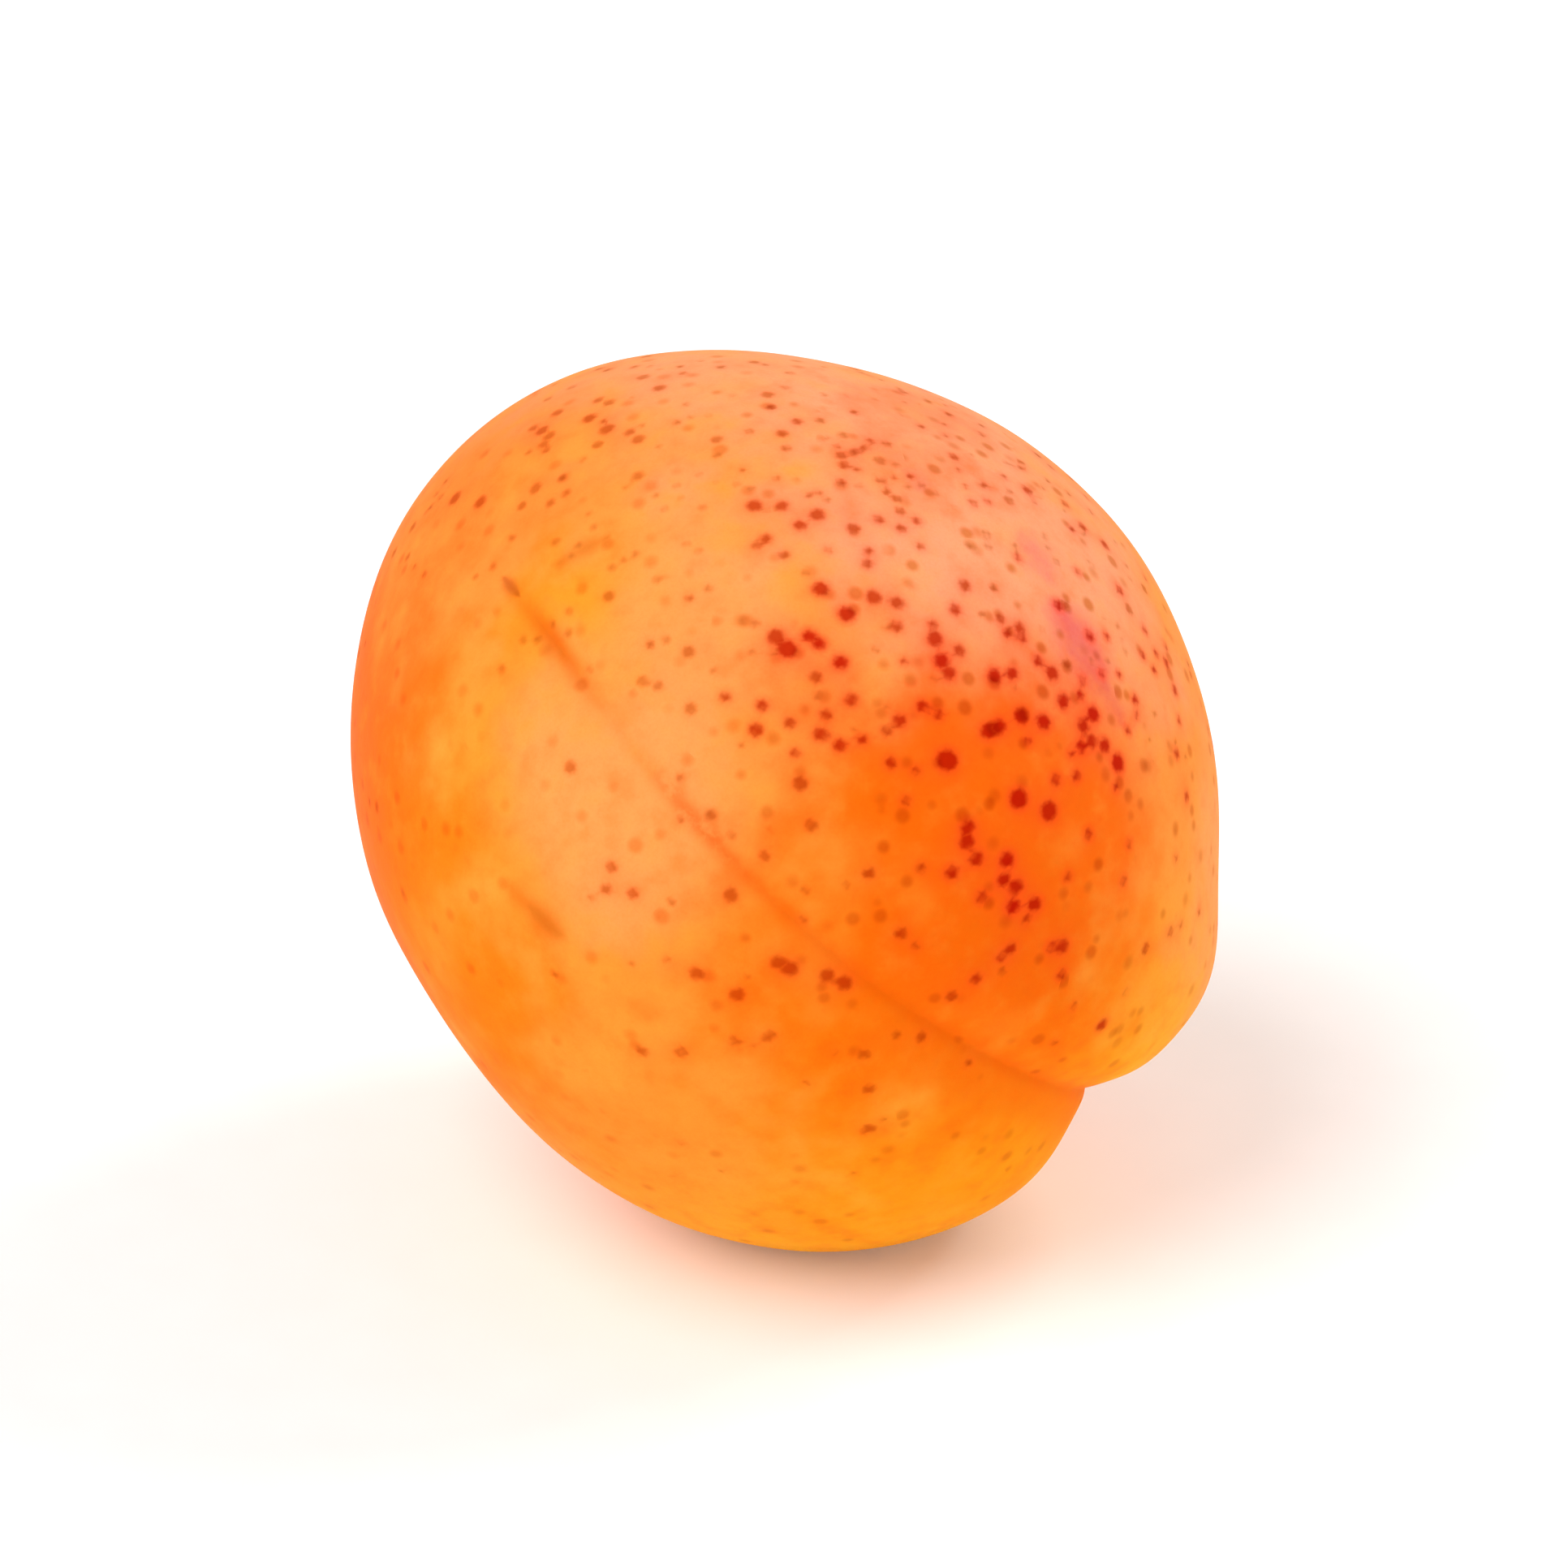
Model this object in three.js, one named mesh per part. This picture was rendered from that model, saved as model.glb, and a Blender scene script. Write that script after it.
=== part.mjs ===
// A ripe apricot lying on its lower side, as one closed solid, in millimetres with +Z up.
//
// The skin is drawn outwards from the middle of the stone. Two angles give a direction from
// there: how far it is from the apex, where the flower's style dried off, and how far round
// it is from the suture, the seam that runs down one side from the apex to the stem.
import * as THREE from "three";

const DEGREE = Math.PI / 180;

// Half sizes of the plain body before its swellings, from the middle outwards.
const TO_SUTURE = 23.2;
const TO_BACK = 22.8;
const TO_RIGHT_CHEEK = 21.5;
const TO_LEFT_CHEEK = 20.6;
const TO_APEX = 22.5;
const TO_STEM = 21.8;
const FULLNESS = 2.1; // 2 is an ellipsoid, and more is squarer

// Broad swellings and hollows: where each is centred, and how far it stands out.
const SWELLING_REACH = 28.6 * DEGREE;
const SWELLINGS = [
  { fromApex: 101, fromSuture: 93, rise: 0.6 },
  { fromApex: 68, fromSuture: 125, rise: -0.6 },
  { fromApex: 44, fromSuture: 176, rise: 0.5 },
  { fromApex: 48, fromSuture: -132, rise: -1.2 },
  { fromApex: 75, fromSuture: -91, rise: -0.9 },
  { fromApex: 101, fromSuture: -67, rise: 0.55 },
  { fromApex: 127, fromSuture: -33, rise: 1.05 },
  { fromApex: 135, fromSuture: 35, rise: 0.3 },
];

// The shoulder of the right lobe, which swells beside the suture near the stem.
const SHOULDER_FROM_APEX = 134 * DEGREE;
const SHOULDER_LENGTH = 22 * DEGREE;
const SHOULDER_FROM_SUTURE = 7.6;
const SHOULDER_WIDTH = 4.4;
const SHOULDER_RISE = 1.1;

// The suture wanders to either side of a straight meridian by these angles.
const SUTURE_BOW = -0.021;
const SUTURE_WAVE = -0.057;

// A fine crease runs along the suture in a shallow valley. Both are slight near the apex,
// almost vanish, and then deepen all the way to the stem.
const DEEPENS_FROM = 40 * DEGREE;
const DEEPENS_OVER = 120 * DEGREE;
const CREASE_DEPTH = 0.1;
const CREASE_DEPTH_GAIN = 0.4;
const CREASE_WIDTH = 0.45;
const CREASE_ROUNDING = 0.12;
const VALLEY_DEPTH_GAIN = 1.8;
const VALLEY_DEPTH_POWER = 1.35;
const VALLEY_LEFT_WIDTH = 1.8;
const VALLEY_LEFT_WIDTH_GAIN = 2.6;
const VALLEY_RIGHT_WIDTH = 1.3;
const VALLEY_RIGHT_WIDTH_GAIN = 1.0;
const APEX_GROOVE_FROM_APEX = 13 * DEGREE;
const APEX_GROOVE_LENGTH = 10 * DEGREE;
const APEX_CREASE_DEPTH = 0.15;
const APEX_VALLEY_DEPTH = 0.28;
const SUTURE_FADES_IN_BY = 6 * DEGREE;
const SUTURE_FADES_OUT_FROM = 162 * DEGREE;
const SUTURE_FADES_OUT_BY = 178 * DEGREE;

// A short fold leaves the stem cavity on the side away from the suture.
const FOLD_STARTS_FROM = 140 * DEGREE;
const FOLD_STARTS_BY = 160 * DEGREE;
const FOLD_ENDS_FROM = 168 * DEGREE;
const FOLD_DEPTH = 0.5;
const FOLD_WIDTH = 0.8;
const FOLD_ROUNDING = 0.35;

// The stem cavity is a funnel around the axis. It reaches further towards the suture and the
// fold than towards the cheeks, and the pit of the stem scar is at its bottom.
const CAVITY_REACH = 4.4;
const CAVITY_DEPTH = 4.2;
const CAVITY_FLARE = 1.5; // 2 is a bell, and less is more like a cone
const CAVITY_LENGTHENING = 0.16;
const CAVITY_SKEW = 0.07;
const PIT_RADIUS = 2.2;
const PIT_DEPTH = 1.5;

// How the fruit lies: its apex leans from the vertical towards a bearing, after the fruit
// has been rolled about its own axis.
const ROLL = 75.4 * DEGREE;
const LEAN = 45.4 * DEGREE;
const BEARING = -142.5 * DEGREE;

// The middle's height above the table, which sets the size of the flat spot, and the height
// over which the flat spot's edge is rounded off.
const MIDDLE_HEIGHT = 21.45;
const EDGE_SOFTNESS = 0.15;

// The mesh: rings around the axis and points in each ring, both closer where the shape turns
// fastest, which is at the two ends and along the suture.
const RINGS = 52;
const RING_CROWDING = 0.4;
const POINTS_IN_RING = 64;
const POINT_CROWDING = 0.82;

const SKIN_ORANGE = 0xff9a45;

// 0 up to start, 1 from end on, with a smooth rise between them.
function ease(start, end, x) {
  return THREE.MathUtils.smoothstep(x, start, end);
}

// A smooth hill of height 1 at 0, which has almost gone at 2.
function hill(x) {
  return Math.exp(-x * x);
}

function direction(fromApex, turn) {
  const out = Math.sin(fromApex);
  return new THREE.Vector3(out * Math.cos(turn), out * Math.sin(turn), Math.cos(fromApex));
}

function plainRadius({ x, y, z }) {
  const across = Math.abs(x) / (x > 0 ? TO_SUTURE : TO_BACK);
  const aside = Math.abs(y) / (y > 0 ? TO_RIGHT_CHEEK : TO_LEFT_CHEEK);
  const along = Math.abs(z) / (z > 0 ? TO_APEX : TO_STEM);
  return (across ** FULLNESS + aside ** FULLNESS + along ** FULLNESS) ** (-1 / FULLNESS);
}

function swelling(towards) {
  return SWELLINGS.reduce((sum, { fromApex, fromSuture, rise }) => {
    const away = towards.angleTo(direction(fromApex * DEGREE, fromSuture * DEGREE));
    return sum + rise * hill(away / SWELLING_REACH);
  }, 0);
}

function shoulder(fromApex, aside) {
  const lengthways = hill((fromApex - SHOULDER_FROM_APEX) / SHOULDER_LENGTH);
  return SHOULDER_RISE * lengthways * hill((aside - SHOULDER_FROM_SUTURE) / SHOULDER_WIDTH);
}

// 1 in a crease, falling off on both sides over its width, with a small radius at the bottom.
function roundedCrease(away, rounding, width) {
  return Math.exp((rounding - Math.hypot(away, rounding)) / width);
}

// Depth of the suture at this angle from the apex, aside millimetres to the right of it.
function sutureDepth(fromApex, aside) {
  const stemward = THREE.MathUtils.clamp((fromApex - DEEPENS_FROM) / DEEPENS_OVER, 0, 1);
  const nearApex = hill((fromApex - APEX_GROOVE_FROM_APEX) / APEX_GROOVE_LENGTH);
  const present = ease(0, SUTURE_FADES_IN_BY, fromApex)
    * (1 - ease(SUTURE_FADES_OUT_FROM, SUTURE_FADES_OUT_BY, fromApex));
  const crease = CREASE_DEPTH + CREASE_DEPTH_GAIN * stemward + APEX_CREASE_DEPTH * nearApex;
  const valley = VALLEY_DEPTH_GAIN * stemward ** VALLEY_DEPTH_POWER + APEX_VALLEY_DEPTH * nearApex;
  const valleyWidth = aside < 0
    ? VALLEY_LEFT_WIDTH + VALLEY_LEFT_WIDTH_GAIN * stemward
    : VALLEY_RIGHT_WIDTH + VALLEY_RIGHT_WIDTH_GAIN * stemward;
  const creaseHere = crease * roundedCrease(aside, CREASE_ROUNDING, CREASE_WIDTH);
  return present * (creaseHere + valley * hill(aside / valleyWidth));
}

function foldDepth(fromApex, fromFold) {
  const present = ease(FOLD_STARTS_FROM, FOLD_STARTS_BY, fromApex)
    * (1 - ease(FOLD_ENDS_FROM, SUTURE_FADES_OUT_BY, fromApex));
  return present * FOLD_DEPTH * roundedCrease(fromFold, FOLD_ROUNDING, FOLD_WIDTH);
}

// How far the skin is drawn in along the axis, at this distance and bearing from the axis.
function cavityDepth(fromAxis, turn) {
  const reach = CAVITY_REACH
    * (1 + CAVITY_LENGTHENING * Math.cos(2 * turn) + CAVITY_SKEW * Math.sin(3 * turn));
  const funnel = Math.exp(-((fromAxis / reach) ** CAVITY_FLARE));
  return CAVITY_DEPTH * funnel + PIT_DEPTH * (1 - ease(PIT_RADIUS / 2, PIT_RADIUS, fromAxis));
}

// A point on the skin, in the fruit's own frame: +X to the suture and +Z to the apex.
function skinPoint(fromApex, fromSuture) {
  const wander = SUTURE_BOW * Math.sin(fromApex) + SUTURE_WAVE * Math.sin(2 * fromApex);
  const turn = fromSuture + wander;
  const towards = direction(fromApex, turn);
  const body = plainRadius(towards) + swelling(towards);
  const aside = body * Math.sin(fromApex) * fromSuture;
  const fromFold = body * Math.sin(fromApex) * (Math.PI - Math.abs(fromSuture));
  const radius = body + shoulder(fromApex, aside)
    - sutureDepth(fromApex, aside) - foldDepth(fromApex, fromFold);
  const point = towards.multiplyScalar(radius);
  if (point.z < 0) point.z += cavityDepth(Math.hypot(point.x, point.y), turn);
  return point;
}

const lie = new THREE.Quaternion()
  .setFromAxisAngle(new THREE.Vector3(0, 0, 1), BEARING)
  .multiply(new THREE.Quaternion().setFromAxisAngle(new THREE.Vector3(0, 1, 0), LEAN))
  .multiply(new THREE.Quaternion().setFromAxisAngle(new THREE.Vector3(0, 0, 1), ROLL));

// The height of a point once the table has pressed the underside flat.
function pressed(height) {
  if (height <= -EDGE_SOFTNESS) return 0;
  if (height >= EDGE_SOFTNESS) return height;
  return (height + EDGE_SOFTNESS) ** 2 / (4 * EDGE_SOFTNESS);
}

function restingPoint(fromApex, fromSuture) {
  const point = skinPoint(fromApex, fromSuture).applyQuaternion(lie);
  point.z = pressed(point.z + MIDDLE_HEIGHT);
  return point;
}

// The angle of ring i from the apex, for 0 at the apex to RINGS at the stem.
function ringAngle(i) {
  const share = i / RINGS;
  return Math.PI * share - (RING_CROWDING / 2) * Math.sin(2 * Math.PI * share);
}

// The angle of point j of a ring from the suture, between -180 and 180 degrees.
function pointAngle(j) {
  const even = (2 * Math.PI * j) / POINTS_IN_RING - Math.PI;
  return even - POINT_CROWDING * Math.sin(even);
}

function apricotGeometry() {
  const points = [restingPoint(0, 0)];
  for (let i = 1; i < RINGS; i++) {
    for (let j = 0; j < POINTS_IN_RING; j++) points.push(restingPoint(ringAngle(i), pointAngle(j)));
  }
  points.push(restingPoint(Math.PI, 0));

  const apex = 0;
  const stem = points.length - 1;
  const at = (ring, j) => 1 + (ring - 1) * POINTS_IN_RING + (j % POINTS_IN_RING);
  const triangles = [];
  for (let j = 0; j < POINTS_IN_RING; j++) {
    triangles.push(apex, at(1, j), at(1, j + 1));
    for (let i = 1; i < RINGS - 1; i++) {
      triangles.push(at(i, j), at(i + 1, j), at(i + 1, j + 1));
      triangles.push(at(i, j), at(i + 1, j + 1), at(i, j + 1));
    }
    triangles.push(at(RINGS - 1, j), stem, at(RINGS - 1, j + 1));
  }

  const geometry = new THREE.BufferGeometry().setFromPoints(points);
  geometry.setIndex(triangles);
  geometry.computeBoundingBox();
  const middle = geometry.boundingBox.getCenter(new THREE.Vector3());
  geometry.translate(-middle.x, -middle.y, 0);
  geometry.computeVertexNormals();
  return geometry;
}

const skin = new THREE.MeshStandardMaterial({ color: SKIN_ORANGE, roughness: 0.5, metalness: 0 });
const apricot = new THREE.Mesh(apricotGeometry(), skin);
apricot.name = "apricot";

const part = new THREE.Group();
part.add(apricot);

export default part;
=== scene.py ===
# %% [markdown]
# # A ripe apricot, from a formula to velvet skin
#
# An apricot looks like a plain ball until you draw one. It is taller from suture to back
# than it is through its cheeks, a seam runs down one side and pinches the two lobes apart
# near the stem, and the skin changes colour all the way round. This lesson draws the
# surface from a formula, lays a fine mesh over it, and then paints it with shader nodes.
#
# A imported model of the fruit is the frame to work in. It fixes the size, the place and the
# flat spot that the fruit rests on, and the fine skin has to fit it.

# %% Load the frame
import math

import bpy
import numpy as np
from mathutils import Matrix, Vector


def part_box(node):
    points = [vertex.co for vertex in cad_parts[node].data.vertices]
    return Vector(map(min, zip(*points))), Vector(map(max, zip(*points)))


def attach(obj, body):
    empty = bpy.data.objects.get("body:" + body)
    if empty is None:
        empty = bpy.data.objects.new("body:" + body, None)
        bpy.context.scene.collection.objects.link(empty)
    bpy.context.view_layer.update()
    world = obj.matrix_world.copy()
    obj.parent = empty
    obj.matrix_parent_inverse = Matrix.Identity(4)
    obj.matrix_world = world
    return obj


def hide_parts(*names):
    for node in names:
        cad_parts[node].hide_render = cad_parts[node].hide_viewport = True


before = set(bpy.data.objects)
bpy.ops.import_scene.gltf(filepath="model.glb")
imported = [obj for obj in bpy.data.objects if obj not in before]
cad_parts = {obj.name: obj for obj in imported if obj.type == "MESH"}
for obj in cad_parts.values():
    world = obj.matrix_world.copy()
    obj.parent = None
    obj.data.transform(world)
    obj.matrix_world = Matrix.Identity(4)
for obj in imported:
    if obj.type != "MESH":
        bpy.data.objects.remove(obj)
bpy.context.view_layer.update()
fruit_low, fruit_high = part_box("apricot")
print("frame box in millimetres:", [round(1000 * side, 1) for side in fruit_high - fruit_low])

# %% [markdown]
# ## Two angles for every place on the fruit
#
# Like a globe, the fruit has an axis. One end is the apex, where the flower's style dried
# off, and the other is the stem. A place on the skin then needs two angles: how far it is
# from the apex, and how far round it is from the suture. Everything below is written with
# NumPy arrays of such angles, so one call shapes the whole mesh at once. Lengths are in
# millimetres until the mesh is made, because that is how one thinks about a fruit.

# %% Small tools for shaping
DEGREE = math.pi / 180
MILLIMETRE = 0.001


def ease(start, end, x):
    """0 up to start, 1 from end on, and a smooth rise between them."""
    share = np.clip((x - start) / (end - start), 0, 1)
    return share * share * (3 - 2 * share)


def hill(x):
    """A smooth hill of height 1 at 0, which has almost gone at 2."""
    return np.exp(-x * x)


def direction(from_apex, turn):
    """Unit vectors in the fruit's own frame: +X to the suture and +Z to the apex."""
    out = np.sin(from_apex)
    return np.stack([out * np.cos(turn), out * np.sin(turn), np.cos(from_apex)], axis=-1)


# %% [markdown]
# ## The body
#
# A superellipsoid is an ellipsoid whose power need not be 2. A slightly higher power fills
# out the shoulders, as ripe flesh does. Each half axis has its own length, because no
# apricot is the same on both sides. A sculptor would push the rest in with a brush, and the
# swellings below do that in a way that can be repeated: each is a wide, soft hill.

# %% Body and swellings
TO_SUTURE, TO_BACK = 23.2, 22.8
TO_RIGHT_CHEEK, TO_LEFT_CHEEK = 21.5, 20.6
TO_APEX, TO_STEM = 22.5, 21.8
FULLNESS = 2.1
SWELLING_REACH = 28.6 * DEGREE
# degrees from the apex, degrees from the suture, rise
SWELLINGS = [
    (101, 93, 0.6),
    (68, 125, -0.6),
    (44, 176, 0.5),
    (48, -132, -1.2),
    (75, -91, -0.9),
    (101, -67, 0.55),
    (127, -33, 1.05),
    (135, 35, 0.3),
]


def plain_radius(towards):
    x, y, z = np.moveaxis(towards, -1, 0)
    across = np.abs(x) / np.where(x > 0, TO_SUTURE, TO_BACK)
    aside = np.abs(y) / np.where(y > 0, TO_RIGHT_CHEEK, TO_LEFT_CHEEK)
    along = np.abs(z) / np.where(z > 0, TO_APEX, TO_STEM)
    return (across**FULLNESS + aside**FULLNESS + along**FULLNESS) ** (-1 / FULLNESS)


def swelling(towards):
    total = 0
    for from_apex, from_suture, rise in SWELLINGS:
        centre = direction(from_apex * DEGREE, from_suture * DEGREE)
        away = np.arccos(np.clip(towards @ centre, -1, 1))
        total = total + rise * hill(away / SWELLING_REACH)
    return total


# %% [markdown]
# ## The suture
#
# The suture is where the carpel, the leaf that the fruit grew from, closed on itself. It
# has two scales: a crease as fine as a pen line, and the shallow valley that it lies in.
# Near the apex both are slight, in the middle they almost vanish, and towards the stem the
# right lobe swells up into a shoulder and stands over the left one.

# %% Suture, shoulder and fold
SHOULDER_FROM_APEX, SHOULDER_LENGTH = 134 * DEGREE, 22 * DEGREE
SHOULDER_FROM_SUTURE, SHOULDER_WIDTH, SHOULDER_RISE = 7.6, 4.4, 1.1
SUTURE_BOW, SUTURE_WAVE = -0.021, -0.057
DEEPENS_FROM, DEEPENS_OVER = 40 * DEGREE, 120 * DEGREE
CREASE_DEPTH, CREASE_DEPTH_GAIN = 0.1, 0.4
CREASE_WIDTH, CREASE_ROUNDING = 0.45, 0.12
VALLEY_DEPTH_GAIN, VALLEY_DEPTH_POWER = 1.8, 1.35
VALLEY_LEFT_WIDTH, VALLEY_LEFT_WIDTH_GAIN = 1.8, 2.6
VALLEY_RIGHT_WIDTH, VALLEY_RIGHT_WIDTH_GAIN = 1.3, 1.0
APEX_GROOVE_FROM_APEX, APEX_GROOVE_LENGTH = 13 * DEGREE, 10 * DEGREE
APEX_CREASE_DEPTH, APEX_VALLEY_DEPTH = 0.15, 0.28
SUTURE_FADES_IN_BY = 6 * DEGREE
SUTURE_FADES_OUT_FROM, SUTURE_FADES_OUT_BY = 162 * DEGREE, 178 * DEGREE
FOLD_STARTS_FROM, FOLD_STARTS_BY, FOLD_ENDS_FROM = 140 * DEGREE, 160 * DEGREE, 168 * DEGREE
FOLD_DEPTH, FOLD_WIDTH, FOLD_ROUNDING = 0.5, 0.8, 0.35


def rounded_crease(away, rounding, width):
    """1 in the crease, falling off on both sides, with a small radius at the bottom."""
    return np.exp((rounding - np.hypot(away, rounding)) / width)


def suture_wander(from_apex):
    return SUTURE_BOW * np.sin(from_apex) + SUTURE_WAVE * np.sin(2 * from_apex)


def shoulder(from_apex, aside):
    lengthways = hill((from_apex - SHOULDER_FROM_APEX) / SHOULDER_LENGTH)
    return SHOULDER_RISE * lengthways * hill((aside - SHOULDER_FROM_SUTURE) / SHOULDER_WIDTH)


def suture_depth(from_apex, aside):
    stemward = np.clip((from_apex - DEEPENS_FROM) / DEEPENS_OVER, 0, 1)
    near_apex = hill((from_apex - APEX_GROOVE_FROM_APEX) / APEX_GROOVE_LENGTH)
    fading = ease(SUTURE_FADES_OUT_FROM, SUTURE_FADES_OUT_BY, from_apex)
    present = ease(0, SUTURE_FADES_IN_BY, from_apex) * (1 - fading)
    crease = CREASE_DEPTH + CREASE_DEPTH_GAIN * stemward + APEX_CREASE_DEPTH * near_apex
    valley = VALLEY_DEPTH_GAIN * stemward**VALLEY_DEPTH_POWER + APEX_VALLEY_DEPTH * near_apex
    left_width = VALLEY_LEFT_WIDTH + VALLEY_LEFT_WIDTH_GAIN * stemward
    right_width = VALLEY_RIGHT_WIDTH + VALLEY_RIGHT_WIDTH_GAIN * stemward
    width = np.where(aside < 0, left_width, right_width)
    crease_here = crease * rounded_crease(aside, CREASE_ROUNDING, CREASE_WIDTH)
    return present * (crease_here + valley * hill(aside / width))


def fold_depth(from_apex, from_fold):
    fading = ease(FOLD_ENDS_FROM, SUTURE_FADES_OUT_BY, from_apex)
    present = ease(FOLD_STARTS_FROM, FOLD_STARTS_BY, from_apex) * (1 - fading)
    return present * FOLD_DEPTH * rounded_crease(from_fold, FOLD_ROUNDING, FOLD_WIDTH)


# %% [markdown]
# ## The stem end
#
# The stalk pulled out of a pit at the bottom of a funnel. The funnel can't be made by
# changing the radius alone, because its sides run almost along the axis. So the skin near
# the axis is pushed along the axis instead.

# %% Stem cavity
CAVITY_REACH, CAVITY_DEPTH, CAVITY_FLARE = 4.4, 4.2, 1.5
CAVITY_LENGTHENING, CAVITY_SKEW = 0.16, 0.07
PIT_RADIUS, PIT_DEPTH = 2.2, 1.5


def cavity_depth(from_axis, turn):
    lobes = 1 + CAVITY_LENGTHENING * np.cos(2 * turn) + CAVITY_SKEW * np.sin(3 * turn)
    funnel = np.exp(-((from_axis / (CAVITY_REACH * lobes)) ** CAVITY_FLARE))
    return CAVITY_DEPTH * funnel + PIT_DEPTH * (1 - ease(PIT_RADIUS / 2, PIT_RADIUS, from_axis))


# %% [markdown]
# ## Detail that only the fine skin has
#
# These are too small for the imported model: a dent where the style dried off, the ragged
# ring of cork round the pit, the woody stump of the stalk inside it, and the slow
# unevenness that stops a highlight from looking machined. Sine waves in three directions
# give that unevenness without a single random number.

# %% Fine relief
STYLE_DENT_DEPTH, STYLE_DENT_LENGTH, STYLE_DENT_WIDTH = 0.2, 1.2, 0.5
STYLE_DENT_FROM_APEX = 0.4
COLLAR_RADIUS, COLLAR_WIDTH, COLLAR_HEIGHT = 2.0, 0.35, 0.34
COLLAR_TEETH, COLLAR_TOOTH_SHARE = 11, 0.45
STUMP_RADIUS, STUMP_HEIGHT, STUMP_FLAT_SHARE = 1.0, 1.0, 0.55
STUMP_RIBS, STUMP_RIB_SHARE = 7, 0.08
STUMP_HOLLOW_DEPTH, STUMP_HOLLOW_SHARE = 0.35, 0.45
UNEVENNESS, QUICK_SHARE = 0.045, 0.35


def style_dent(from_apex, body, turn):
    along = body * np.sin(from_apex) * np.cos(turn) - STYLE_DENT_FROM_APEX
    across = body * np.sin(from_apex) * np.sin(turn)
    near = np.where(from_apex < math.pi / 2, 1.0, 0.0)
    return near * STYLE_DENT_DEPTH * hill(along / STYLE_DENT_LENGTH) * hill(across / STYLE_DENT_WIDTH)


def unevenness(towards):
    x, y, z = np.moveaxis(towards, -1, 0)
    slow = np.sin(5.1 * x + 1.3 * y + 0.4) + np.sin(4.7 * y - 2.2 * z + 1.1)
    slow = slow + np.sin(5.6 * z + 1.9 * x)
    quick = np.sin(13 * x - 7 * z + 2.0) * np.sin(11 * y + 5 * x) + np.sin(17 * z + 6 * y) * 0.5
    return UNEVENNESS * (slow + QUICK_SHARE * quick)


def stem_scar(from_axis, turn):
    teeth = 0.5 + 0.5 * np.sin(COLLAR_TEETH * turn + 2 * np.sin(3 * turn))
    ring_height = COLLAR_HEIGHT * (1 - COLLAR_TOOTH_SHARE * teeth)
    ring = ring_height * hill((from_axis - COLLAR_RADIUS) / COLLAR_WIDTH)
    ribs = 1 + STUMP_RIB_SHARE * np.sin(STUMP_RIBS * turn + np.sin(2 * turn))
    out = from_axis / (STUMP_RADIUS * ribs)
    hollow = STUMP_HOLLOW_DEPTH * hill(from_axis / (STUMP_HOLLOW_SHARE * STUMP_RADIUS))
    stump = STUMP_HEIGHT * (1 - ease(STUMP_FLAT_SHARE, 1.0, out)) - hollow
    return ring + stump


# %% [markdown]
# ## Putting the relief together
#
# Each part of the relief is now a function, and one function adds them up. It also keeps
# the distances that it worked out on the way, because the paint will need them: how far a
# place is aside of the suture, how far from the stem's axis, and so on.

# %% One function for the whole skin
FAR_FROM_AXIS = 99.0


def skin_point(from_apex, from_suture):
    """Points of the skin in the fruit's own frame, and the distances that the paint needs."""
    turn = from_suture + suture_wander(from_apex)
    towards = direction(from_apex, turn)
    body = plain_radius(towards) + swelling(towards)
    aside = body * np.sin(from_apex) * from_suture
    from_fold = body * np.sin(from_apex) * (math.pi - np.abs(from_suture))
    radius = body + shoulder(from_apex, aside) + unevenness(towards)
    radius = radius - suture_depth(from_apex, aside) - fold_depth(from_apex, from_fold)
    radius = radius - style_dent(from_apex, body, turn)
    point = towards * radius[..., None]
    from_axis = np.hypot(point[..., 0], point[..., 1])
    stem_side = point[..., 2] < 0
    inward = cavity_depth(from_axis, turn) - stem_scar(from_axis, turn)
    point[..., 2] += np.where(stem_side, inward, 0)
    distances = {"aside": aside, "from_axis": np.where(stem_side, from_axis, FAR_FROM_AXIS)}
    return point, distances


# %% [markdown]
# ## How the fruit lies
#
# The fruit is rolled about its own axis, leaned over, and turned to its bearing. Then the
# table presses it: every point below the table's height is lifted to it, with a rounded
# edge so that the flat spot doesn't look cut with a knife.

# %% Lay the fruit down
ROLL, LEAN, BEARING = 75.4 * DEGREE, 45.4 * DEGREE, -142.5 * DEGREE
MIDDLE_HEIGHT = 21.45
EDGE_SOFTNESS = 0.15

rolled = Matrix.Rotation(ROLL, 3, "Z")
leaned = Matrix.Rotation(LEAN, 3, "Y")
turned = Matrix.Rotation(BEARING, 3, "Z")
LIE = np.array(turned @ leaned @ rolled)


def pressed(height):
    rounded = (height + EDGE_SOFTNESS) ** 2 / (4 * EDGE_SOFTNESS)
    return np.where(height <= -EDGE_SOFTNESS, 0, np.where(height >= EDGE_SOFTNESS, height, rounded))


def resting_point(from_apex, from_suture):
    point, distances = skin_point(from_apex, from_suture)
    point = point @ LIE.T
    point[..., 2] = pressed(point[..., 2] + MIDDLE_HEIGHT)
    return point, distances


# %% [markdown]
# ## Spending points where the detail is
#
# A globe's grid wastes points at the back. Here a density says how much detail there is at
# each angle, its running total is turned round, and equal steps of the total then give the
# angles. Columns crowd at the suture, less than a tenth of a millimetre apart, and the
# freckled cheek gets more of them than the plain one. Rings crowd at the two ends.

# %% Rings and columns
RINGS, COLUMNS = 262, 364
TRIAL_STEPS = 20000
# how much denser, and over how wide an angle
CREASE_CROWD, CREASE_CROWD_REACH = 5, 2.2 * DEGREE
VALLEY_CROWD, VALLEY_CROWD_REACH = 1.2, 8 * DEGREE
CHEEK_CROWD, CHEEK_CROWD_REACH, CHEEK_FROM_SUTURE = 0.45, 40 * DEGREE, 55 * DEGREE
APEX_CROWD, APEX_CROWD_REACH = 0.7, 12 * DEGREE
STEM_CROWD, STEM_CROWD_REACH = 2.4, 9 * DEGREE


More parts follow.
